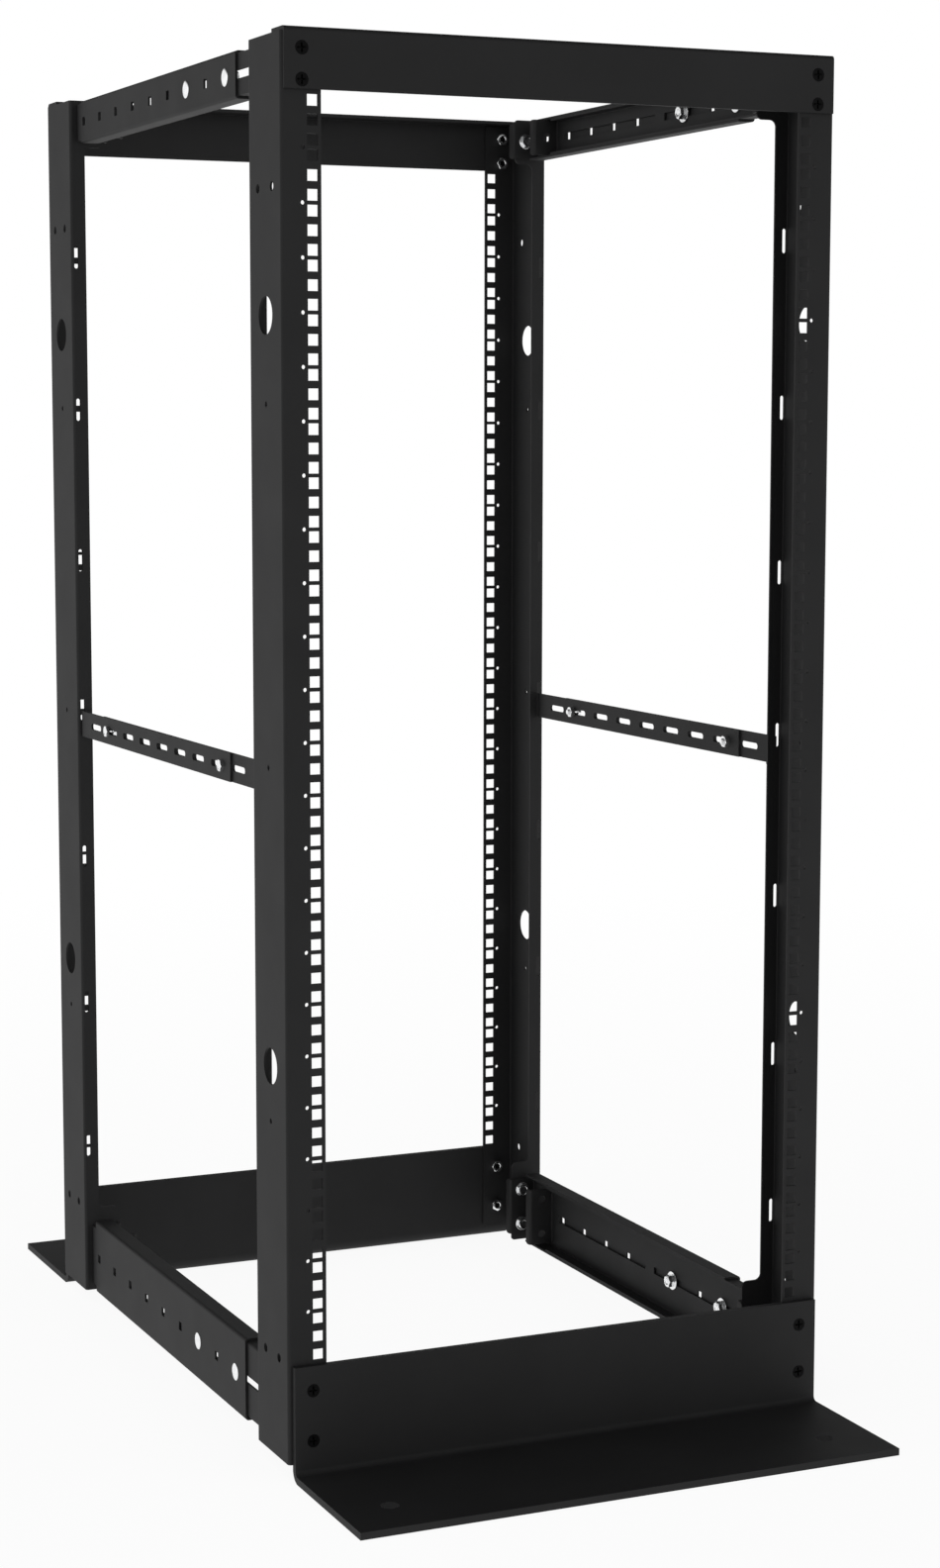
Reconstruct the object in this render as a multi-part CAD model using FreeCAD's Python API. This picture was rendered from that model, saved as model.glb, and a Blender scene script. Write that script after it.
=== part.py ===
import FreeCAD, Part
import math
import os

# Four post open frame rack, bolted together from bent sheet steel.
# Millimetres. X is across, Y runs from front to rear, Z is up.
# The origin is on the floor, midway between the posts and the two faces.

# ---------------------------------------------------------------- rack format
rack_units = 24
unit_height = 44.45
hole_offsets = (6.35, 22.225, 38.1)
rack_opening = 450.0
hole_from_opening = 7.55
square_hole = 9.5
marker_hole = 3.6
marker_from_hole = 8.77

# ---------------------------------------------------------------- whole frame
frame_depth = 658.0

# ---------------------------------------------------------------- posts
sheet = 2.0
bend_inside = 1.0
post_flange = 35.35
post_depth = 76.2
post_lip = 15.0
post_below = 88.9
post_above = 48.3
tab_past_opening = 0.3
tab_corner = 6.0
top_tab_height = 45.4
bottom_tab_height = 86.4

web_hole = 32.0
web_hole_from_base = 253.0
web_hole_from_top = 179.2
pair_hole = 8.0
pair_spacing = 32.5
pair_from_base = 0.3
pair_from_top = 74.8
pilot_hole = 5.0
pilot_below_middle = 23.8
lace_from_end = 152.3
lace_pitch_wanted = 150.0
lace_height = 22.0
lace_width = 4.0
lace_inset = 4.9

# ---------------------------------------------------------------- top beams
beam_sheet = 3.0
beam_inset = 2.05
beam_height = 50.0
beam_fold = 28.5
beam_gap = 0.6
beam_screw_inset = 17.75
beam_screw_low = 7.6
beam_screw_step = 25.4
screw_hole = 6.4
screw_head = 12.2

# ---------------------------------------------------------------- feet
foot_plate = 6.35
foot_inset = 3.85
foot_height = 101.6
foot_reach = 152.4
foot_bend_inside = 4.65
foot_above = 1.7
foot_screw_inset = 20.75
foot_screw_top = 21.6
foot_screw_step = 44.45
floor_hole = 16.0
floor_hole_from_end = 46.8
floor_hole_from_tip = 49.6

# ---------------------------------------------------------------- side rails
rail_inset = 7.35
rail_sheet = 2.0
rail_play = 0.2
rail_flange = 17.0
rail_length = 455.3
rail_relief = 12.0
top_rail_height = 40.4
top_rail_tab = 35.6
top_rail_drop = 22.0
bottom_rail_height = 75.4
bottom_rail_tab = 60.4
bottom_rail_rise = 37.7
hook_gap = 1.3
hook_reach = 7.7
hook_corner = 4.0
tab_bolt_in = 11.1
tab_bolt_hole = 8.5
bottom_bolt_step = 38.1
rail_hole = 8.2
rail_hole_count = 9
rail_hole_pitch = 50.8
rail_hole_from_end = 22.8
slot_height = 7.2
slot_length = 199.6
slot_corner = 0.9
slot_gap = 18.6

# ---------------------------------------------------------------- middle braces
brace_sheet = 2.0
brace_inset = 3.35
brace_height = 25.4
brace_below_middle = 34.6
brace_length = 439.5
brace_tab = 11.0
brace_slot_count = 8
brace_slot_pitch = 50.8
brace_slot_length = 31.0
brace_slot_height = 6.0

# ---------------------------------------------------------------- worked out
half_opening = rack_opening / 2.0
half_width = half_opening + post_flange
hole_x = half_opening + hole_from_opening
tab_edge = half_opening + tab_past_opening
lip_x = half_width - post_lip
face_y = -frame_depth / 2.0
back_y = face_y + post_depth
web_y = face_y + post_depth / 2.0

rack_base = foot_height + foot_above
rack_height = rack_units * unit_height
rack_top = rack_base + rack_height
post_bottom = rack_base - post_below
post_top = rack_top + post_above
post_middle = (post_bottom + post_top) / 2.0
bend_outside = bend_inside + sheet
pilot_step = rack_height * 2.0 / 7.0
lace_span = post_top - post_bottom - 2.0 * lace_from_end
lace_count = int(lace_span / lace_pitch_wanted + 0.5) + 1
lace_pitch = lace_span / (lace_count - 1)

beam_top = post_top + beam_gap + beam_sheet
beam_width = 2.0 * (half_width - beam_inset)
beam_screw_x = half_width - beam_screw_inset
foot_width = 2.0 * (half_width - foot_inset)
foot_screw_x = half_width - foot_screw_inset
floor_hole_x = foot_width / 2.0 - floor_hole_from_end

rail_outer_x = half_width - rail_inset
rail_edge_x = rail_outer_x - rail_flange
rail_nest = rail_sheet + rail_play
hook_x = tab_edge - hook_gap - rail_sheet
tab_bolt_x = tab_edge + tab_bolt_in
top_rail_centre = post_top - top_rail_drop
bottom_rail_centre = post_bottom + bottom_rail_rise
brace_outer_x = half_width - brace_inset
brace_centre = rack_base + rack_height / 2.0 - brace_below_middle

os.makedirs("parts", exist_ok=True)


def vec(x, y, z):
    return FreeCAD.Vector(x, y, z)


def outline(corners, lift):
    """Closed wire through (a, b, radius) corners. lift turns (a, b) into a point."""
    edges = []
    count = len(corners)
    ends = []
    for i in range(count):
        a0, b0, _ = corners[i - 1]
        a1, b1, radius = corners[i]
        a2, b2, _ = corners[(i + 1) % count]
        before = math.hypot(a0 - a1, b0 - b1)
        after = math.hypot(a2 - a1, b2 - b1)
        u = ((a0 - a1) / before, (b0 - b1) / before)
        v = ((a2 - a1) / after, (b2 - b1) / after)
        if radius <= 0.0:
            ends.append(((a1, b1), None, (a1, b1)))
            continue
        half = math.acos(max(-1.0, min(1.0, u[0] * v[0] + u[1] * v[1]))) / 2.0
        back = radius / math.tan(half)
        w = (u[0] + v[0], u[1] + v[1])
        size = math.hypot(w[0], w[1])
        reach = radius / math.sin(half) - radius
        start = (a1 + u[0] * back, b1 + u[1] * back)
        middle = (a1 + w[0] / size * reach, b1 + w[1] / size * reach)
        finish = (a1 + v[0] * back, b1 + v[1] * back)
        ends.append((start, middle, finish))
    for i in range(count):
        start, middle, finish = ends[i]
        if middle is not None:
            edges.append(Part.Arc(lift(*start), lift(*middle), lift(*finish)).toShape())
        following = ends[(i + 1) % count][0]
        if math.hypot(following[0] - finish[0], following[1] - finish[1]) > 1e-6:
            edges.append(Part.makeLine(lift(*finish), lift(*following)))
    return Part.Wire(edges)


def prism(corners, lift, run):
    return Part.Face(outline(corners, lift)).extrude(run)


def bar_z(corners, z0, z1):
    """Section in X and Y, standing from z0 to z1."""
    return prism(corners, lambda a, b: vec(a, b, z0), vec(0, 0, z1 - z0))


def bar_y(corners, y0, y1):
    """Section in X and Z, running from y0 to y1."""
    return prism(corners, lambda a, b: vec(a, y0, b), vec(0, y1 - y0, 0))


def bar_x(corners, x0, x1):
    """Section in Y and Z, running from x0 to x1."""
    return prism(corners, lambda a, b: vec(x0, a, b), vec(x1 - x0, 0, 0))


def box(x0, x1, y0, y1, z0, z1):
    return Part.makeBox(x1 - x0, y1 - y0, z1 - z0, vec(x0, y0, z0))


def drill_x(diameter, x0, x1, y, z):
    return Part.makeCylinder(diameter / 2.0, x1 - x0, vec(x0, y, z), vec(1, 0, 0))


def drill_y(diameter, x, y0, y1, z):
    return Part.makeCylinder(diameter / 2.0, y1 - y0, vec(x, y0, z), vec(0, 1, 0))


def slot_x(x0, x1, y_mid, z_mid, length_y, height_z, corner):
    """Slot through a web, long way along Y, with its corners rounded to this radius."""
    b = height_z / 2.0
    a = length_y / 2.0
    corners = [(y_mid - a, z_mid - b, corner), (y_mid + a, z_mid - b, corner),
               (y_mid + a, z_mid + b, corner), (y_mid - a, z_mid + b, corner)]
    return bar_x(corners, x0, x1)


def handed(shape, side, end):
    """Turn a front right piece into the piece for this side and end."""
    if side == "left":
        shape = shape.mirror(vec(0, 0, 0), vec(1, 0, 0))
    if end == "rear":
        shape = shape.mirror(vec(0, 0, 0), vec(0, 1, 0))
    return shape


def save(name, shape):
    solids = shape.Solids
    shape = solids[0] if len(solids) == 1 else Part.makeCompound(solids)
    shape.exportStep("parts/" + name + ".step")


def tab(z_end, z_shoulder):
    """Widened end of the post's inner lip, which the side rail bolts to."""
    step = 8.0 if z_end < z_shoulder else -8.0
    corners = [(lip_x + 1.0, z_end, 0.0), (tab_edge, z_end, tab_corner / 2.0),
               (tab_edge, z_shoulder, tab_corner), (lip_x, z_shoulder, tab_corner),
               (lip_x, z_shoulder + step, 0.0), (lip_x + 1.0, z_shoulder + step, 0.0)]
    return bar_y(corners, back_y - sheet, back_y)


def post():
    section = [(half_opening, face_y, 0.0), (half_width, face_y, bend_outside),
               (half_width, back_y, bend_outside), (lip_x, back_y, 0.0),
               (lip_x, back_y - sheet, 0.0), (half_width - sheet, back_y - sheet, bend_inside),
               (half_width - sheet, face_y + sheet, bend_inside), (half_opening, face_y + sheet, 0.0)]
    body = bar_z(section, post_bottom, post_top)
    body = body.fuse([tab(post_top, post_top - top_tab_height),
                      tab(post_bottom, post_bottom + bottom_tab_height)])

    cuts = []
    y0, y1 = face_y - 1.0, face_y + sheet + 1.0
    for unit in range(rack_units):
        for offset in hole_offsets:
            z = rack_base + unit * unit_height + offset
            r = square_hole / 2.0
            cuts.append(box(hole_x - r, hole_x + r, y0, y1, z - r, z + r))
    for unit in range(1, rack_units):
        z = rack_base + unit * unit_height
        cuts.append(drill_y(marker_hole, hole_x + marker_from_hole, y0, y1, z))
    for z in beam_screw_heights():
        cuts.append(drill_y(screw_hole, beam_screw_x, y0, y1, z))
    for z in foot_screw_heights():
        cuts.append(drill_y(screw_hole, foot_screw_x, y0, y1, z))

    x0, x1 = half_width - sheet - 1.0, half_width + 1.0
    for z in (rack_base + web_hole_from_base, rack_top - web_hole_from_top):
        cuts.append(drill_x(web_hole, x0, x1, web_y, z))
    for z in (rack_base + pair_from_base, rack_top - pair_from_top):
        for y in (web_y - pair_spacing / 2.0, web_y + pair_spacing / 2.0):
            cuts.append(drill_x(pair_hole, x0, x1, y, z))
    for step in (-1, 0, 1):
        z = rack_base + rack_height / 2.0 - pilot_below_middle + step * pilot_step
        cuts.append(drill_x(pilot_hole, x0, x1, web_y, z))

    y0, y1 = back_y - sheet - 1.0, back_y + 1.0
    lace_x = half_width - lace_inset
    for i in range(lace_count):
        z = post_middle + (i - (lace_count - 1) / 2.0) * lace_pitch
        a, b, r = lace_width / 2.0, lace_height / 2.0, lace_width / 2.0 - 0.05
        corners = [(lace_x - a, z - b, r), (lace_x + a, z - b, r),
                   (lace_x + a, z + b, r), (lace_x - a, z + b, r)]
        cuts.append(bar_y(corners, y0, y1))
    for z in top_bolt_heights() + bottom_bolt_heights():
        cuts.append(drill_y(tab_bolt_hole, tab_bolt_x, y0, y1, z))
    return body.cut(cuts).removeSplitter()


def beam_screw_heights():
    low = beam_top - beam_height + beam_screw_low
    return [low, low + beam_screw_step]


def foot_screw_heights():
    high = foot_height - foot_screw_top
    return [high - foot_screw_step, high]


def top_bolt_heights():
    return [top_rail_centre]


def bottom_bolt_heights():
    half = bottom_bolt_step / 2.0
    return [bottom_rail_centre - half, bottom_rail_centre + half]


def countersunk(x, y_out, y_in, z):
    """Screw hole along Y with a cone for a flat head, open at y_out."""
    depth = (screw_head - screw_hole) / 2.0
    cone = Part.makeCone(screw_head / 2.0, screw_hole / 2.0, depth, vec(x, y_out, z), vec(0, 1, 0))
    return [drill_y(screw_hole, x, y_out - 1.0, y_in + 1.0, z), cone]


def top_beam():
    z_top = beam_top
    y_out = face_y - beam_sheet
    section = [(y_out, z_top - beam_height, 0.0), (face_y, z_top - beam_height, 0.0),
               (face_y, z_top - beam_sheet, beam_gap),
               (y_out + beam_fold, z_top - beam_sheet, 0.0),
               (y_out + beam_fold, z_top, 0.0), (y_out, z_top, beam_gap + beam_sheet)]
    body = bar_x(section, -beam_width / 2.0, beam_width / 2.0)
    cuts = []
    for x in (-beam_screw_x, beam_screw_x):
        for z in beam_screw_heights():
            cuts += countersunk(x, y_out, face_y, z)
    return body.cut(cuts)


def foot():
    y_out = face_y - foot_plate
    y_tip = face_y - foot_reach
    section = [(face_y, 0.0, foot_bend_inside + foot_plate), (face_y, foot_height, 0.0),
               (y_out, foot_height, 0.0), (y_out, foot_plate, foot_bend_inside),
               (y_tip, foot_plate, 0.0), (y_tip, 0.0, 0.0)]
    body = bar_x(section, -foot_width / 2.0, foot_width / 2.0)
    cuts = []
    for x in (-foot_screw_x, foot_screw_x):
        for z in foot_screw_heights():
            cuts += countersunk(x, y_out, face_y, z)
    for x in (-floor_hole_x, floor_hole_x):
        cuts.append(Part.makeCylinder(floor_hole / 2.0, foot_plate + 2.0,
                                      vec(x, y_tip + floor_hole_from_tip, -1.0)))
    return body.cut(cuts)


def rail_channel(x_out, z_mid, height, y0, y1):
    """Channel on its side between y0 and y1: web outboard, both flanges turned in."""
    t = rail_sheet
    low, high = z_mid - height / 2.0, z_mid + height / 2.0
    section = [(x_out, low, bend_inside + t), (x_out, high, bend_inside + t),
               (rail_edge_x, high, 0.0), (rail_edge_x, high - t, 0.0),
               (x_out - t, high - t, bend_inside), (x_out - t, low + t, bend_inside),
               (rail_edge_x, low + t, 0.0), (rail_edge_x, low, 0.0)]
    return bar_y(section, y0, y1)


def hooked_end(x_out, y, way):
    """Corners of a rail's bent end, from web to hook and back. way is the sense of Y inside the rail."""
    t = rail_sheet
    outside = [(x_out, y, bend_inside + t), (hook_x + t, y, bend_inside),
               (hook_x + t, y - way * hook_reach, 0.0)]
    inside = [(hook_x, y - way * hook_reach, 0.0), (hook_x, y + way * t, bend_inside + t),
              (x_out - t, y + way * t, bend_inside)]
    return outside + inside


def round_hook(body, y):
    """Round the free corners of the hook whose edge is at y."""
    corners = []
    for edge in body.Edges:
        size = edge.BoundBox
        if abs(size.YMin - y) < 0.01 and size.YLength < 0.01 and size.ZLength < 0.01:
            corners.append(edge)
    return body.makeFillet(hook_corner, corners)


def sliding_rail(z_mid, height, tab_height, bolt_heights):
    """Inner half of a side rail: a hooked tab at both ends and two long slots."""
    x_out = rail_outer_x - rail_nest
    y0, y1 = back_y, back_y + rail_length
    strip = hooked_end(x_out, y0, 1.0)[::-1] + hooked_end(x_out, y1, -1.0)
    body = bar_z(strip, z_mid - tab_height / 2.0, z_mid + tab_height / 2.0)
    body = round_hook(body, y0 - hook_reach)
    body = round_hook(body, y1 + hook_reach)
    body = body.fuse(rail_channel(x_out, z_mid, height - 2.0 * rail_nest, y0 + rail_relief, y1 - rail_relief))
    cuts = []
    middle = (y0 + y1) / 2.0
    for side in (-1.0, 1.0):
        y = middle + side * (slot_length + slot_gap) / 2.0
        cuts.append(slot_x(x_out - rail_sheet - 1.0, x_out + 1.0, y, z_mid,
                           slot_length, slot_height, slot_corner))
    for z in bolt_heights:
        cuts.append(drill_y(tab_bolt_hole, tab_bolt_x, y0 - 1.0, y0 + rail_sheet + 1.0, z))
        cuts.append(drill_y(tab_bolt_hole, tab_bolt_x, y1 - rail_sheet - 1.0, y1 + 1.0, z))
    return body.cut(cuts).removeSplitter()


def fixed_rail(z_mid, height, tab_height, bolt_heights):
    """Outer half of a side rail, drawn at the front and mirrored to its rear post."""
    x_out = rail_outer_x
    y0, y1 = back_y, back_y + rail_length
    strip = hooked_end(x_out, y0, 1.0)[::-1] + [(x_out, y1, 0.0), (x_out - rail_sheet, y1, 0.0)]
    body = bar_z(strip, z_mid - tab_height / 2.0, z_mid + tab_height / 2.0)
    body = round_hook(body, y0 - hook_reach)
    body = body.fuse(rail_channel(x_out, z_mid, height, y0 + rail_relief, y1))
    cuts = []
    x0, x1 = x_out - rail_sheet - 1.0, x_out + 1.0
    r = rail_hole / 2.0
    for i in range(rail_hole_count):
        y = y0 + rail_hole_from_end + i * rail_hole_pitch
        cuts.append(box(x0, x1, y - r, y + r, z_mid - r, z_mid + r))
    for z in bolt_heights:
        cuts.append(drill_y(tab_bolt_hole, tab_bolt_x, y0 - 1.0, y0 + rail_sheet + 1.0, z))
    return body.cut(cuts).removeSplitter()


def brace(x_out):
    """Slotted strap with a short tab turned in against the post's lip."""
    t = brace_sheet
    section = [(x_out, back_y, bend_inside + t), (x_out, back_y + brace_length, 0.0),
               (x_out - t, back_y + brace_length, 0.0), (x_out - t, back_y + t, bend_inside),
               (x_out - brace_tab, back_y + t, 0.0), (x_out - brace_tab, back_y, 0.0)]
    low = brace_centre - brace_height / 2.0
    body = bar_z(section, low, low + brace_height)
    cuts = []
    for i in range(brace_slot_count):
        y = (i - 4.0) * brace_slot_pitch
        cuts.append(slot_x(x_out - t - 1.0, x_out + 1.0, y, brace_centre,
                           brace_slot_length, brace_slot_height, brace_slot_height / 2.0))
    return body.cut(cuts)


# ---------------------------------------------------------------- make the pieces
post_shape = post()
for end in ("front", "rear"):
    for side in ("left", "right"):
        save("post_" + end + "_" + side, handed(post_shape, side, end))

for end in ("front", "rear"):
    save("top_beam_" + end, handed(top_beam(), "right", end))
    save("foot_" + end, handed(foot(), "right", end))

levels = {"top": (top_rail_centre, top_rail_height, top_rail_tab, top_bolt_heights()),
          "bottom": (bottom_rail_centre, bottom_rail_height, bottom_rail_tab, bottom_bolt_heights())}
for level, sizes in levels.items():
    fixed = fixed_rail(*sizes)
    sliding = sliding_rail(*sizes)
    for side in ("left", "right"):
        save("side_rail_rear_" + level + "_" + side, handed(fixed, side, "rear"))
        save("side_rail_front_" + level + "_" + side, handed(sliding, side, "front"))

for end, side, x_out in (("front", "right", brace_outer_x), ("rear", "right", brace_outer_x - brace_sheet),
                         ("front", "left", brace_outer_x - brace_sheet), ("rear", "left", brace_outer_x)):
    save("brace_" + end + "_" + side, handed(brace(x_out), side, end))
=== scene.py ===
"""Looks of the open frame equipment rack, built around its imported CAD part.

Metres, +Z up, front towards -Y. The posts, beams, feet, rails and braces are the
CAD nodes; this script adds their finish, the screws, nuts and bolts, and the studio.
"""
import itertools
import math

import bmesh
import bpy
from mathutils import Matrix, Vector


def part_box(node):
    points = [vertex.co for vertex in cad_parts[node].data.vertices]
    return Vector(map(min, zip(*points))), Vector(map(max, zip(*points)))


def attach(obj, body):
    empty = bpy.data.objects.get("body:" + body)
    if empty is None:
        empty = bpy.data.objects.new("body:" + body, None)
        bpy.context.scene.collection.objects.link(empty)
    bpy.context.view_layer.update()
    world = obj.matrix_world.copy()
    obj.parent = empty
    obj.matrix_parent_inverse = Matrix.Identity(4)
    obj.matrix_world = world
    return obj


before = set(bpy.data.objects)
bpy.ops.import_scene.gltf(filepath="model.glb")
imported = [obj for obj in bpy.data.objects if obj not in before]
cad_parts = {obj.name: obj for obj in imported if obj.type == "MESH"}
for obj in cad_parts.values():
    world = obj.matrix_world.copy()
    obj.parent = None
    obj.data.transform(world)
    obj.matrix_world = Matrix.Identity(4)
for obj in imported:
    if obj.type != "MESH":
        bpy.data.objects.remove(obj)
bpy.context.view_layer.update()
MM = 0.001

# ------------------------------------------------------------------ where fasteners go
SHEET = 2.0 * MM
FOOT_PLATE = 6.35 * MM

BEAM_SCREW_X = 242.6 * MM
BEAM_SCREW_RISE = (7.6 * MM, 33.0 * MM)          # above the beam's lower edge
FOOT_SCREW_X = 239.6 * MM
FOOT_SCREW_DROP = (21.6 * MM, 66.05 * MM)        # below the foot's upper edge
TAB_BOLT_X = 236.4 * MM
BOTTOM_BOLT_HALF_STEP = 19.05 * MM
CLAMP_FROM_RAIL_END = (26.1 * MM, 127.7 * MM)    # behind the front end of the outer rail
BRACE_BOLT_Y = 165.0 * MM
BRACE_THICKNESS = 2.0 * MM

# ------------------------------------------------------------------ fastener sizes
NUT_ACROSS = 11.1 * MM                           # hexagons are measured across their flats
NUT_BORE_RADIUS = 3.05 * MM
NUT_HEIGHT = 6.6 * MM
CHAMFER_RADIUS = 0.488                           # where the turned corners start, of the width
CHAMFER_SLOPE = math.tan(math.radians(30))
DISH_OUTER, DISH_INNER = 0.36, 0.33              # hollow in a bolt's head, of the width
DISH_DEPTH = 0.25 * MM
BORE_FLARE, BORE_DROP = 0.5 * MM, 0.4 * MM
WASHER_EDGE = 0.25 * MM

SCREW_HEAD = 11.6 * MM
SCREW_SHANK = 6.0 * MM
SCREW_SUNK = 0.3 * MM
SCREW_RIM = 0.2 * MM
SCREW_EDGE = 0.15 * MM
BEAM_SCREW_LENGTH = 10.2 * MM
FOOT_SCREW_LENGTH = 13.4 * MM
RECESS_REACH, RECESS_WIDTH = 0.35, 0.13          # of the screw's head
RECESS_DEPTH = 2.4 * MM
RECESS_END_TAPER, RECESS_CORNER_TAPER = 0.45, 0.8

BOLT_THREAD = 6.2 * MM
TAB_WASHER_RADII = (7.5 * MM, 3.3 * MM)
TAB_WASHER = 1.4 * MM
TAB_HEAD_TOP = 5.4 * MM
TAB_THREAD = (-7.2 * MM, 1.6 * MM)
TAB_NUT_PROFILE = ((3.1, 0.0), (3.9, 0.0), (3.9, 2.2), (3.7, 2.4), (3.3, 2.4), (3.1, 2.2))

CLAMP_HEAD_PROFILE = ((7.75, 0.0), (7.75, 0.35), (7.4, 0.62), (6.2, 0.88),
                      (4.7, 1.1), (3.0, 1.26), (1.5, 1.33), (0.4, 1.35))
CLAMP_NECK_HALF = 3.3 * MM
CLAMP_NECK = (-1.9 * MM, 0.1 * MM)
CLAMP_THREAD_END = -11.2 * MM
CLAMP_PITCH = 1.27 * MM
CLAMP_WASHER_RADII = (9.3 * MM, 3.4 * MM)
CLAMP_WASHER = 1.5 * MM
CLAMP_BORE_RADIUS = 3.1 * MM
CLAMP_NUT_TOP = 7.2 * MM

BRACE_ACROSS = 10.0 * MM
BRACE_HEAD = 3.2 * MM
BRACE_SHANK_RADIUS = 2.9 * MM
BRACE_SHANK = (-4.1 * MM, 0.2 * MM)
BRACE_BORE_RADIUS = 2.8 * MM
BRACE_NUT = 4.8 * MM
BRACE_THREAD = 5.8 * MM
BRACE_THREAD_ENDS = (-0.2 * MM, 7.0 * MM)

ROUND_STEPS = 48
SMALL_ROUND_STEPS = 32
SHARP_DEGREES = 35.0
SCREW_SHARP_DEGREES = 30.0
TURN_STEP, TURN_REPEAT = 37.0, 60.0              # degrees


# ------------------------------------------------------------------ finishes
def new_material(name):
    material = bpy.data.materials.new(name)
    material.use_nodes = True
    nodes, links = material.node_tree.nodes, material.node_tree.links
    return material, nodes, links, nodes["Principled BSDF"]


def object_place(nodes):
    return nodes.new("ShaderNodeTexCoord").outputs["Object"]


def noise(nodes, links, scale, detail, source):
    texture = nodes.new("ShaderNodeTexNoise")
    texture.inputs["Scale"].default_value = scale
    texture.inputs["Detail"].default_value = detail
    links.new(source, texture.inputs["Vector"])
    return texture.outputs["Fac"]


def ramp(nodes, links, source, low, high, left=0.35, right=0.65):
    node = nodes.new("ShaderNodeValToRGB")
    for element, position, colour in zip(node.color_ramp.elements, (left, right), (low, high)):
        element.position = position
        element.color = colour
    links.new(source, node.inputs["Fac"])
    return node.outputs["Color"]


def spread(nodes, links, source, low, high):
    node = nodes.new("ShaderNodeMapRange")
    node.inputs["To Min"].default_value = low
    node.inputs["To Max"].default_value = high
    links.new(source, node.inputs["Value"])
    return node.outputs["Result"]


def bump(nodes, links, shader, source, strength, distance):
    node = nodes.new("ShaderNodeBump")
    node.inputs["Strength"].default_value = strength
    node.inputs["Distance"].default_value = distance
    links.new(source, node.inputs["Height"])
    links.new(node.outputs["Normal"], shader.inputs["Normal"])


def finish(name, colours, colour_noise, roughness, roughness_noise, grain):
    """Mottled material. Each noise is (scale, detail), grain adds (strength, distance)."""
    material, nodes, links, shader = new_material(name)
    source = object_place(nodes)
    mottle = noise(nodes, links, *colour_noise, source)
    links.new(ramp(nodes, links, mottle, *colours), shader.inputs["Base Color"])
    uneven = noise(nodes, links, *roughness_noise, source)
    links.new(spread(nodes, links, uneven, *roughness), shader.inputs["Roughness"])
    scale, detail, strength, distance = grain
    bump(nodes, links, shader, noise(nodes, links, scale, detail, source), strength, distance)
    return material, shader


def powder_coat():
    """Satin black powder coat: even colour, a fine pebbled skin, slightly uneven gloss."""
    material, shader = finish(
        "black_powder_coat",
        ((0.0056, 0.0056, 0.0059, 1), (0.0072, 0.0072, 0.0076, 1)), (9.0, 3.0),
        (0.63, 0.71), (25.0, 4.0), (900.0, 2.0, 0.10, 0.0002))
    shader.inputs["Specular IOR Level"].default_value = 0.36
    return material


def zinc():
    """Bright zinc plating with faint patches."""
    material, shader = finish(
        "zinc_plate",
        ((0.86, 0.87, 0.88, 1), (0.95, 0.955, 0.96, 1)), (160.0, 3.0),
        (0.16, 0.26), (420.0, 3.0), (1600.0, 2.0, 0.06, 0.0001))
    shader.inputs["Metallic"].default_value = 1.0
    return material


def black_oxide():
    """Dull black finish of the countersunk screws."""
    material, shader = finish(
        "black_oxide",
        ((0.0009, 0.0009, 0.0010, 1), (0.0018, 0.0018, 0.0019, 1)), (240.0, 2.0),
        (0.44, 0.54), (500.0, 2.0), (1500.0, 2.0, 0.05, 0.0001))
    shader.inputs["Specular IOR Level"].default_value = 0.08
    return material


coat = powder_coat()
bright = zinc()
dark = black_oxide()
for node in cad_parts.values():
    node.data.materials.clear()
    node.data.materials.append(coat)


# ------------------------------------------------------------------ fastener meshes
def hexagon(across):
    """Radius of a hexagon of this size across its flats, at any angle."""
    def radius(angle):
        return across / 2.0 / math.cos((angle + math.pi / 6) % (math.pi / 3) - math.pi / 6)
    return radius


def rings(bm, profile, closed, steps=ROUND_STEPS):
    """Skin of rings along local Z. profile holds (radius, height), and each may be a
    function of the angle. A closed profile runs back to its first ring."""
    made = []
    for radius, height in profile:
        ring = []
        for i in range(steps):
            angle = 2.0 * math.pi * i / steps
            r = radius(angle) if callable(radius) else radius
            z = height(angle) if callable(height) else height
            ring.append(bm.verts.new((r * math.cos(angle), r * math.sin(angle), z)))
        made.append(ring)
    pairs = list(zip(made, made[1:]))
    if closed:
        pairs.append((made[-1], made[0]))
    else:
        bm.faces.new(made[0][::-1])
        bm.faces.new(made[-1])
    for low, high in pairs:
        join(bm, low, high)


def join(bm, low, high):
    for i in range(len(low)):
        j = (i + 1) % len(low)
        bm.faces.new((low[i], low[j], high[j], high[i]))


def in_mm(profile):
    return [(radius * MM, height * MM) for radius, height in profile]


def chamfered(across, height, sign=1.0):
    """Height of a hexagon's edge where its corners are turned off: sign 1 above, -1 below."""
    radius = hexagon(across)
    flat = across * CHAMFER_RADIUS

    def edge(angle):
        return height - sign * (radius(angle) - flat) * CHAMFER_SLOPE
    return edge


def washer(bm, outer, inner, z0, z1):
    edge = min(WASHER_EDGE, (z1 - z0) / 4)
    rings(bm, [(inner, z0), (outer - edge, z0), (outer, z0 + edge), (outer, z1 - edge),
               (outer - edge, z1), (inner, z1)], True)


def hex_head(bm, across, z0, z1):
    radius = hexagon(across)
    rings(bm, [(radius, z0), (radius, chamfered(across, z1)), (across * CHAMFER_RADIUS, z1),
               (across * DISH_OUTER, z1), (across * DISH_INNER, z1 - DISH_DEPTH)], False)


def hex_nut(bm, across, bore, z0, z1):
    radius = hexagon(across)
    rings(bm, [(bore, z0 + BORE_DROP), (bore + BORE_FLARE, z0), (across * CHAMFER_RADIUS, z0),
               (radius, chamfered(across, z0, -1.0)), (radius, chamfered(across, z1)),
               (across * CHAMFER_RADIUS, z1), (bore + BORE_FLARE, z1), (bore, z1 - BORE_DROP)],
          True)


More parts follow.
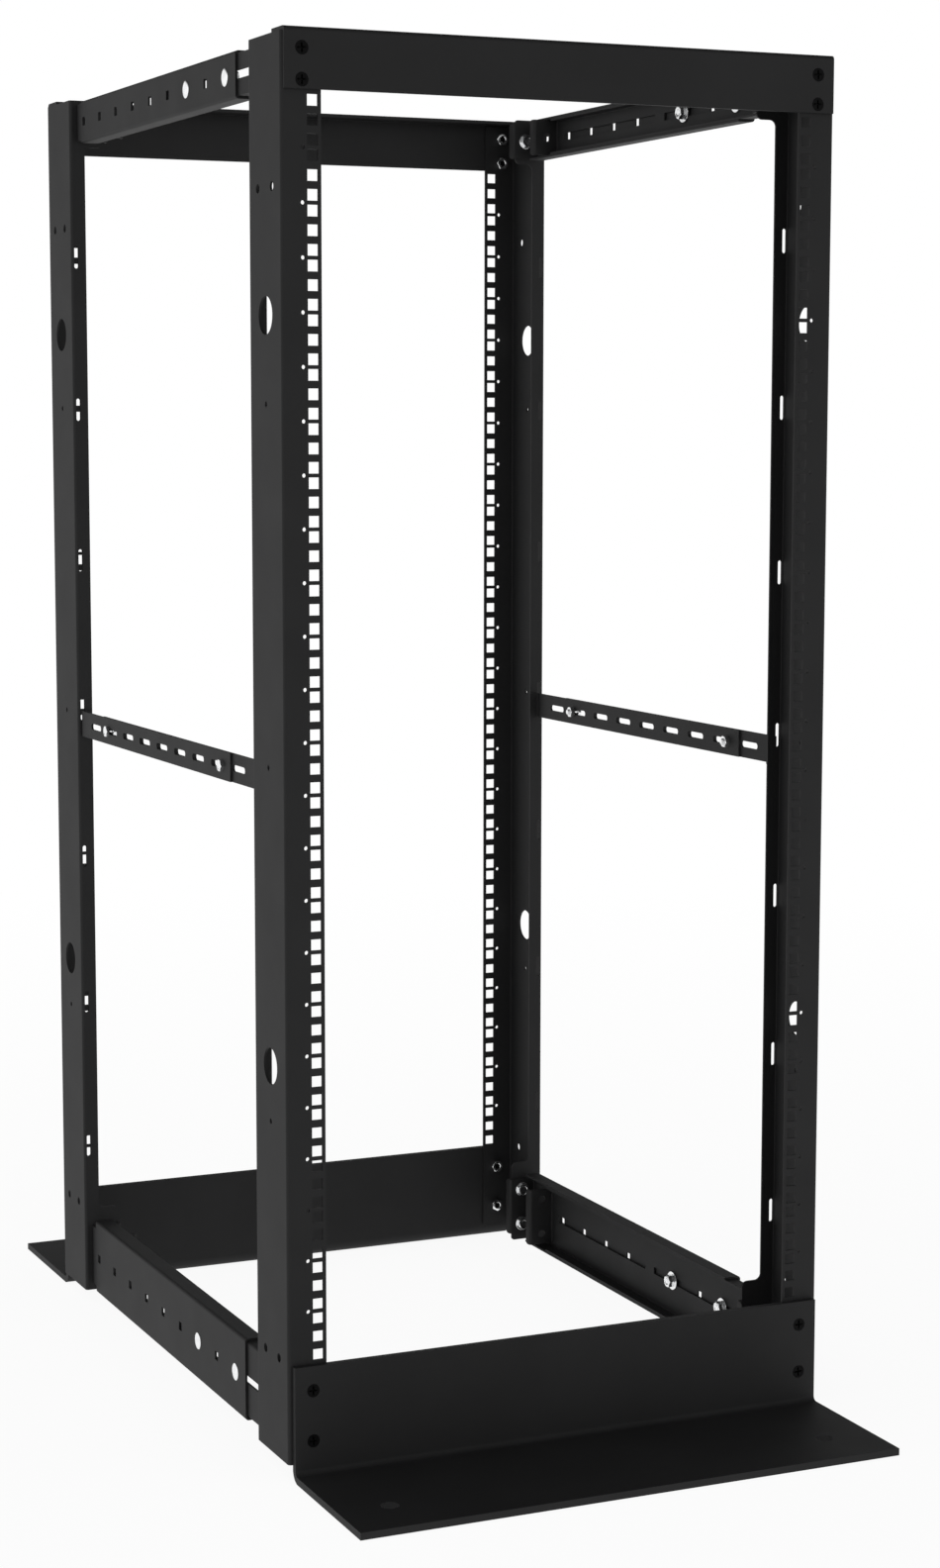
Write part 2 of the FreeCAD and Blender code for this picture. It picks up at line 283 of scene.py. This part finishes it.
def thread(bm, diameter, z0, z1, pitch=1.0 * MM):
    """Ridged rod. The ridges are rings and not a helix."""
    outer, root = diameter / 2.0, diameter / 2.0 - 0.55 * pitch
    profile = [(root, z0)]
    z = z0 + pitch / 2.0
    while z < z1 - 0.7 * pitch:
        profile += [(root, z), (outer, z + 0.35 * pitch), (outer, z + 0.5 * pitch),
                    (root, z + 0.85 * pitch)]
        z += pitch
    profile += [(root, z1)]
    rings(bm, profile, False, SMALL_ROUND_STEPS)


def cross_recess(bm, reach, wide, deep, top):
    """Cross-shaped hollow with sloping ends. Returns its upper edge, at height top."""
    w = wide / 2.0
    corners = ((reach, -w, RECESS_END_TAPER), (reach, w, RECESS_END_TAPER),
               (w, w, RECESS_CORNER_TAPER))
    edge, floor = [], []
    for quarter in range(4):
        turn = Matrix.Rotation(quarter * math.pi / 2, 3, "Z")
        for x, y, shrink in corners:
            p = turn @ Vector((x, y, 0))
            edge.append(bm.verts.new((p.x, p.y, top)))
            floor.append(bm.verts.new((p.x * shrink, p.y * shrink, top - deep)))
    join(bm, edge, floor)
    bm.faces.new(floor)
    return edge


def circle(bm, radius, z, steps=ROUND_STEPS):
    return [bm.verts.new((radius * math.cos(2 * math.pi * i / steps),
                          radius * math.sin(2 * math.pi * i / steps), z)) for i in range(steps)]


def flat_screw(bm, length):
    """Countersunk screw. Its face is sunk just below z 0, and it runs down to -length."""
    face = -SCREW_SUNK
    edge = cross_recess(bm, RECESS_REACH * SCREW_HEAD, RECESS_WIDTH * SCREW_HEAD,
                        RECESS_DEPTH, face)
    profile = [(SCREW_HEAD / 2 - SCREW_RIM, face), (SCREW_HEAD / 2, face - SCREW_EDGE),
               (SCREW_SHANK / 2, face - SCREW_EDGE - (SCREW_HEAD - SCREW_SHANK) / 2),
               (SCREW_SHANK / 2, -length)]
    made = [circle(bm, radius, z) for radius, z in profile]
    loops = []
    for ring in (made[0], edge):
        for i in range(len(ring)):
            pair = (ring[i], ring[(i + 1) % len(ring)])
            loops.append(bm.edges.get(pair) or bm.edges.new(pair))
    bmesh.ops.triangle_fill(bm, edges=loops, use_beauty=True)
    for high, low in zip(made, made[1:]):
        join(bm, low, high)
    bm.faces.new(made[-1][::-1])


def mesh_of(kind, build, material, sharp=SHARP_DEGREES):
    bm = bmesh.new()
    build(bm)
    bmesh.ops.recalc_face_normals(bm, faces=bm.faces)
    data = bpy.data.meshes.new(kind)
    bm.to_mesh(data)
    bm.free()
    data.materials.append(material)
    data.shade_smooth()
    data.set_sharp_from_angle(angle=math.radians(sharp))
    return data


def place(name, data, position, axis, turn=0.0):
    """Puts a fastener with its local Z along axis, turned about it by turn degrees."""
    piece = bpy.data.objects.new(name, data)
    bpy.context.scene.collection.objects.link(piece)
    rotation = Vector(axis).to_track_quat("Z", "Y").to_matrix().to_4x4()
    piece.matrix_world = (Matrix.Translation(position) @ rotation
                          @ Matrix.Rotation(math.radians(turn), 4, "Z"))
    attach(piece, "root")


turns = itertools.count(1)


def next_turn():
    """Nuts and heads stop at different angles."""
    return (next(turns) * TURN_STEP) % TURN_REPEAT


def beam_screw(bm):
    flat_screw(bm, BEAM_SCREW_LENGTH)


def foot_screw(bm):
    flat_screw(bm, FOOT_SCREW_LENGTH)


def plate_nut(bm):
    hex_nut(bm, NUT_ACROSS, NUT_BORE_RADIUS, 0.0, NUT_HEIGHT)


def tab_bolt_head(bm):
    washer(bm, *TAB_WASHER_RADII, 0.0, TAB_WASHER)
    hex_head(bm, NUT_ACROSS, TAB_WASHER, TAB_HEAD_TOP)
    thread(bm, BOLT_THREAD, *TAB_THREAD)


def tab_bolt_nut(bm):
    """Small round nut pressed into the post's tab."""
    rings(bm, in_mm(TAB_NUT_PROFILE), True)


def clamp_head(bm):
    """Wide and nearly flat head with a square neck under it."""
    def square(angle):
        return CLAMP_NECK_HALF / max(abs(math.cos(angle)), abs(math.sin(angle)))
    low, high = CLAMP_NECK
    rings(bm, in_mm(CLAMP_HEAD_PROFILE), False)
    rings(bm, [(square, low), (square, high)], False, SMALL_ROUND_STEPS)
    thread(bm, BOLT_THREAD, CLAMP_THREAD_END, low, CLAMP_PITCH)


def clamp_nut(bm):
    washer(bm, *CLAMP_WASHER_RADII, 0.0, CLAMP_WASHER)
    hex_nut(bm, NUT_ACROSS, CLAMP_BORE_RADIUS, CLAMP_WASHER, CLAMP_NUT_TOP)


def brace_head(bm):
    low, high = BRACE_SHANK
    hex_head(bm, BRACE_ACROSS, 0.0, BRACE_HEAD)
    rings(bm, [(BRACE_SHANK_RADIUS, low), (BRACE_SHANK_RADIUS, high)], False, SMALL_ROUND_STEPS)


def brace_nut(bm):
    hex_nut(bm, BRACE_ACROSS, BRACE_BORE_RADIUS, 0.0, BRACE_NUT)
    thread(bm, BRACE_THREAD, *BRACE_THREAD_ENDS)


beam_screw_mesh = mesh_of("beam_screw", beam_screw, dark, SCREW_SHARP_DEGREES)
foot_screw_mesh = mesh_of("foot_screw", foot_screw, dark, SCREW_SHARP_DEGREES)
plate_nut_mesh = mesh_of("plate_nut", plate_nut, bright)
tab_head_mesh = mesh_of("tab_bolt_head", tab_bolt_head, bright)
tab_nut_mesh = mesh_of("tab_bolt_nut", tab_bolt_nut, bright)
clamp_head_mesh = mesh_of("clamp_head", clamp_head, bright)
clamp_nut_mesh = mesh_of("clamp_nut", clamp_nut, bright)
brace_head_mesh = mesh_of("brace_head", brace_head, bright)
brace_nut_mesh = mesh_of("brace_nut", brace_nut, bright)

# ------------------------------------------------------------------ fasteners in place
ENDS = (("front", -1.0), ("rear", 1.0))
SIDES = (("left", -1.0), ("right", 1.0))
LEVELS = ("top", "bottom")

for end, out in ENDS:
    beam_low, beam_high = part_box(f"top_beam_{end}")
    foot_low, foot_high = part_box(f"foot_{end}")
    beam_face = beam_low.y if out < 0 else beam_high.y
    foot_face = (foot_high.y - FOOT_PLATE) if out < 0 else (foot_low.y + FOOT_PLATE)
    for side, right in SIDES:
        corner = f"{end}_{side}"
        post_low, post_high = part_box(f"post_{corner}")
        flange = (post_low.y + SHEET) if out < 0 else (post_high.y - SHEET)
        tab_back = post_high.y if out < 0 else post_low.y
        for i, rise in enumerate(BEAM_SCREW_RISE):
            x, z = right * BEAM_SCREW_X, beam_low.z + rise
            place(f"beam_screw_{corner}_{i}", beam_screw_mesh,
                  (x, beam_face, z), (0, out, 0), 3.0 * i)
            place(f"beam_nut_{corner}_{i}", plate_nut_mesh,
                  (x, flange, z), (0, -out, 0), 28.0 + 3.0 * i)
        for i, drop in enumerate(FOOT_SCREW_DROP):
            x, z = right * FOOT_SCREW_X, foot_high.z - drop
            place(f"foot_screw_{corner}_{i}", foot_screw_mesh,
                  (x, foot_face, z), (0, out, 0), 3.0 * i)
            place(f"foot_nut_{corner}_{i}", plate_nut_mesh,
                  (x, flange, z), (0, -out, 0), next_turn())
        for level in LEVELS:
            rail_low, rail_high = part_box(f"side_rail_{end}_{level}_{side}")
            middle = (rail_low.z + rail_high.z) / 2
            x = right * TAB_BOLT_X
            if level == "top":
                offsets = (0.0,)
            else:
                offsets = (-BOTTOM_BOLT_HALF_STEP, BOTTOM_BOLT_HALF_STEP)
            for i, dz in enumerate(offsets):
                place(f"tab_bolt_{corner}_{level}_{i}", tab_head_mesh,
                      (x, tab_back - out * SHEET, middle + dz), (0, -out, 0), next_turn())
                place(f"tab_nut_{corner}_{level}_{i}", tab_nut_mesh,
                      (x, tab_back + out * SHEET, middle + dz), (0, out, 0), next_turn())

for side, right in SIDES:
    for level in LEVELS:
        outer_low, outer_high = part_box(f"side_rail_rear_{level}_{side}")
        inner_low, inner_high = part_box(f"side_rail_front_{level}_{side}")
        outside = outer_high.x if right > 0 else outer_low.x
        inside = (inner_high.x - SHEET) if right > 0 else (inner_low.x + SHEET)
        middle = (outer_low.z + outer_high.z) / 2
        for i, along in enumerate(CLAMP_FROM_RAIL_END):
            y = outer_low.y + along
            place(f"clamp_bolt_{level}_{side}_{i}", clamp_head_mesh,
                  (outside, y, middle), (right, 0, 0), next_turn())
            place(f"clamp_nut_{level}_{side}_{i}", clamp_nut_mesh,
                  (inside, y, middle), (-right, 0, 0), next_turn())
    boxes = [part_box(f"brace_{end}_{side}") for end, _ in ENDS]
    outside = max(abs(v.x) for pair in boxes for v in pair)
    inside = outside - 2 * BRACE_THICKNESS
    middle = (boxes[0][0].z + boxes[0][1].z) / 2
    for i, y in enumerate((-BRACE_BOLT_Y, BRACE_BOLT_Y)):
        place(f"brace_bolt_{side}_{i}", brace_head_mesh,
              (right * outside, y, middle), (right, 0, 0), 27.0 + 6.0 * i)
        place(f"brace_nut_{side}_{i}", brace_nut_mesh,
              (right * inside, y, middle), (-right, 0, 0), 25.0 + 8.0 * i)

# ------------------------------------------------------------------ studio
WHITE = (1, 1, 1, 1)
FLOOR_GREY = 0.77
FLOOR_REACH = 14.0
SHADOW_NEAR, SHADOW_FAR = 0.7, 3.0               # where the floor's shadow starts to fade, and ends
WHITE_NEAR, WHITE_FAR = 0.92, 1.0                # share of plain white in the floor as seen
FILL = 0.09                                      # light from every direction
# Direction of each patch of light, cosines where it starts and is full, strength.
GLOWS = (((0.55, -1.0, 0.1), 0.3, 0.95, 1.08),
         ((-1.0, 0.1, 0.25), 0.2, 0.9, 1.10),
         ((0.0, -0.35, 1.0), 0.3, 0.95, 0.45),
         ((0.35, 1.0, 0.35), 0.75, 1.0, 0.24))
CEILING_FROM, CEILING_TO = 0.16, 0.42            # sine of the height over the horizon
CEILING_STRENGTH = 0.05
LAMP_AT = (-3.4, 0.4, 1.5)
LAMP_AIM = (0.0, 0.0, 0.6)
LAMP_SIDE = 2.6
LAMP_WATTS = 5.0


def maths(nodes, links, operation, a, b):
    """Math node. a and b are each a number or a socket."""
    node = nodes.new("ShaderNodeMath")
    node.operation = operation
    for i, value in enumerate((a, b)):
        if isinstance(value, float):
            node.inputs[i].default_value = value
        else:
            links.new(value, node.inputs[i])
    return node.outputs[0]


def smooth(nodes, links, source, start, stop, low, high, kind="SMOOTHSTEP"):
    """Value that goes from low to high while the source goes from start to stop."""
    node = nodes.new("ShaderNodeMapRange")
    node.interpolation_type = kind
    node.inputs["From Min"].default_value = start
    node.inputs["From Max"].default_value = stop
    node.inputs["To Min"].default_value = low
    node.inputs["To Max"].default_value = high
    links.new(source, node.inputs["Value"])
    return node.outputs["Result"]


def background_rays(nodes, links):
    """1 for a ray that shows the background: to the camera, in a reflection or through glass."""
    path = nodes.new("ShaderNodeLightPath")
    either = maths(nodes, links, "MAXIMUM",
                   path.outputs["Is Camera Ray"], path.outputs["Is Glossy Ray"])
    return maths(nodes, links, "MAXIMUM", either, path.outputs["Is Transmission Ray"])


def mixed(nodes, links, share, first, second, output):
    """Sends the mix of two shaders to an output node. A share of 1 is all second."""
    node = nodes.new("ShaderNodeMixShader")
    links.new(share, node.inputs["Fac"])
    links.new(first, node.inputs[1])
    links.new(second, node.inputs[2])
    links.new(node.outputs["Shader"], nodes[output].inputs["Surface"])


def floor_material():
    """Pale matt floor. Where it is seen it is near white, keeps the rack's soft shadow
    close by, and runs out to plain white far away."""
    material, nodes, links, shader = new_material("studio_floor")
    shader.inputs["Base Color"].default_value = (FLOOR_GREY, FLOOR_GREY, FLOOR_GREY, 1)
    shader.inputs["Roughness"].default_value = 0.9
    shader.inputs["Specular IOR Level"].default_value = 0.0
    white = nodes.new("ShaderNodeEmission")
    white.inputs["Color"].default_value = WHITE
    white.inputs["Strength"].default_value = 1.0
    distance = nodes.new("ShaderNodeVectorMath")
    distance.operation = "LENGTH"
    links.new(object_place(nodes), distance.inputs[0])
    away = smooth(nodes, links, distance.outputs["Value"],
                  SHADOW_NEAR, SHADOW_FAR, WHITE_NEAR, WHITE_FAR, "LINEAR")
    share = maths(nodes, links, "MULTIPLY", background_rays(nodes, links), away)
    mixed(nodes, links, share, shader.outputs["BSDF"], white.outputs["Emission"],
          "Material Output")
    return material


def add_floor():
    data = bpy.data.meshes.new("studio_floor")
    corners = [(x * FLOOR_REACH, y * FLOOR_REACH, 0)
               for x, y in ((-1, -1), (1, -1), (1, 1), (-1, 1))]
    data.from_pydata(corners, [], [list(range(len(corners)))])
    data.materials.append(floor_material())
    piece = bpy.data.objects.new("studio_floor", data)
    bpy.context.scene.collection.objects.link(piece)


def add_world():
    """Soft patches of light for the object, and plain white where the world is seen.
    In reflections the white darkens overhead, as under a dark ceiling."""
    world = bpy.data.worlds.new("studio")
    bpy.context.scene.world = world
    world.use_nodes = True
    nodes, links = world.node_tree.nodes, world.node_tree.links
    direction = nodes.new("ShaderNodeTexCoord").outputs["Generated"]
    light = FILL
    for centre, start, stop, strength in GLOWS:
        facing = nodes.new("ShaderNodeVectorMath")
        facing.operation = "DOT_PRODUCT"
        facing.inputs[1].default_value = Vector(centre).normalized()
        links.new(direction, facing.inputs[0])
        patch = smooth(nodes, links, facing.outputs["Value"], start, stop, 0.0, strength)
        light = maths(nodes, links, "ADD", light, patch)
    background = nodes["Background"]
    background.inputs["Color"].default_value = WHITE
    links.new(light, background.inputs["Strength"])

    height = nodes.new("ShaderNodeSeparateXYZ")
    links.new(direction, height.inputs[0])
    reflected = smooth(nodes, links, height.outputs["Z"],
                       CEILING_FROM, CEILING_TO, 1.0, CEILING_STRENGTH)
    straight = nodes.new("ShaderNodeLightPath").outputs["Is Camera Ray"]
    shown = nodes.new("ShaderNodeBackground")
    shown.inputs["Color"].default_value = WHITE
    links.new(maths(nodes, links, "MAXIMUM", straight, reflected), shown.inputs["Strength"])
    mixed(nodes, links, background_rays(nodes, links), background.outputs["Background"],
          shown.outputs["Background"], "World Output")


def add_lamp():
    data = bpy.data.lights.new("softbox_left", "AREA")
    data.shape = "RECTANGLE"
    data.size = data.size_y = LAMP_SIDE
    data.energy = LAMP_WATTS
    piece = bpy.data.objects.new("softbox_left", data)
    bpy.context.scene.collection.objects.link(piece)
    piece.location = LAMP_AT
    aim = Vector(LAMP_AIM) - Vector(LAMP_AT)
    piece.rotation_euler = aim.to_track_quat("-Z", "Y").to_euler()


add_floor()
add_world()
add_lamp()

# ------------------------------------------------------------------ camera
# Fitted to the rack holes that show in the photograph.
CAMERA_AT = Vector((-1.15689, -2.67398, 0.89794))
CAMERA_RIGHT = Vector((0.915966, -0.401254, -0.000296))
CAMERA_FORWARD = Vector((0.398289, 0.909286, -0.120685))
SENSOR_WIDTH = 36.0
LENS = 69.493
SHIFT_X, SHIFT_Y = 0.0268, 0.00768
CLIP_START, CLIP_END = 0.05, 60.0

camera_data = bpy.data.cameras.new("camera")
camera_data.sensor_width = SENSOR_WIDTH
camera_data.lens = LENS
camera_data.shift_x, camera_data.shift_y = SHIFT_X, SHIFT_Y
camera_data.clip_start, camera_data.clip_end = CLIP_START, CLIP_END
camera = bpy.data.objects.new("camera", camera_data)
bpy.context.scene.collection.objects.link(camera)
bpy.context.scene.camera = camera
right = CAMERA_RIGHT.normalized()
forward = (CAMERA_FORWARD - CAMERA_FORWARD.dot(right) * right).normalized()
up = right.cross(forward)
camera.matrix_world = Matrix((
    (right.x, up.x, -forward.x, CAMERA_AT.x),
    (right.y, up.y, -forward.y, CAMERA_AT.y),
    (right.z, up.z, -forward.z, CAMERA_AT.z),
    (0, 0, 0, 1)))

bpy.context.scene.view_settings.view_transform = "Standard"
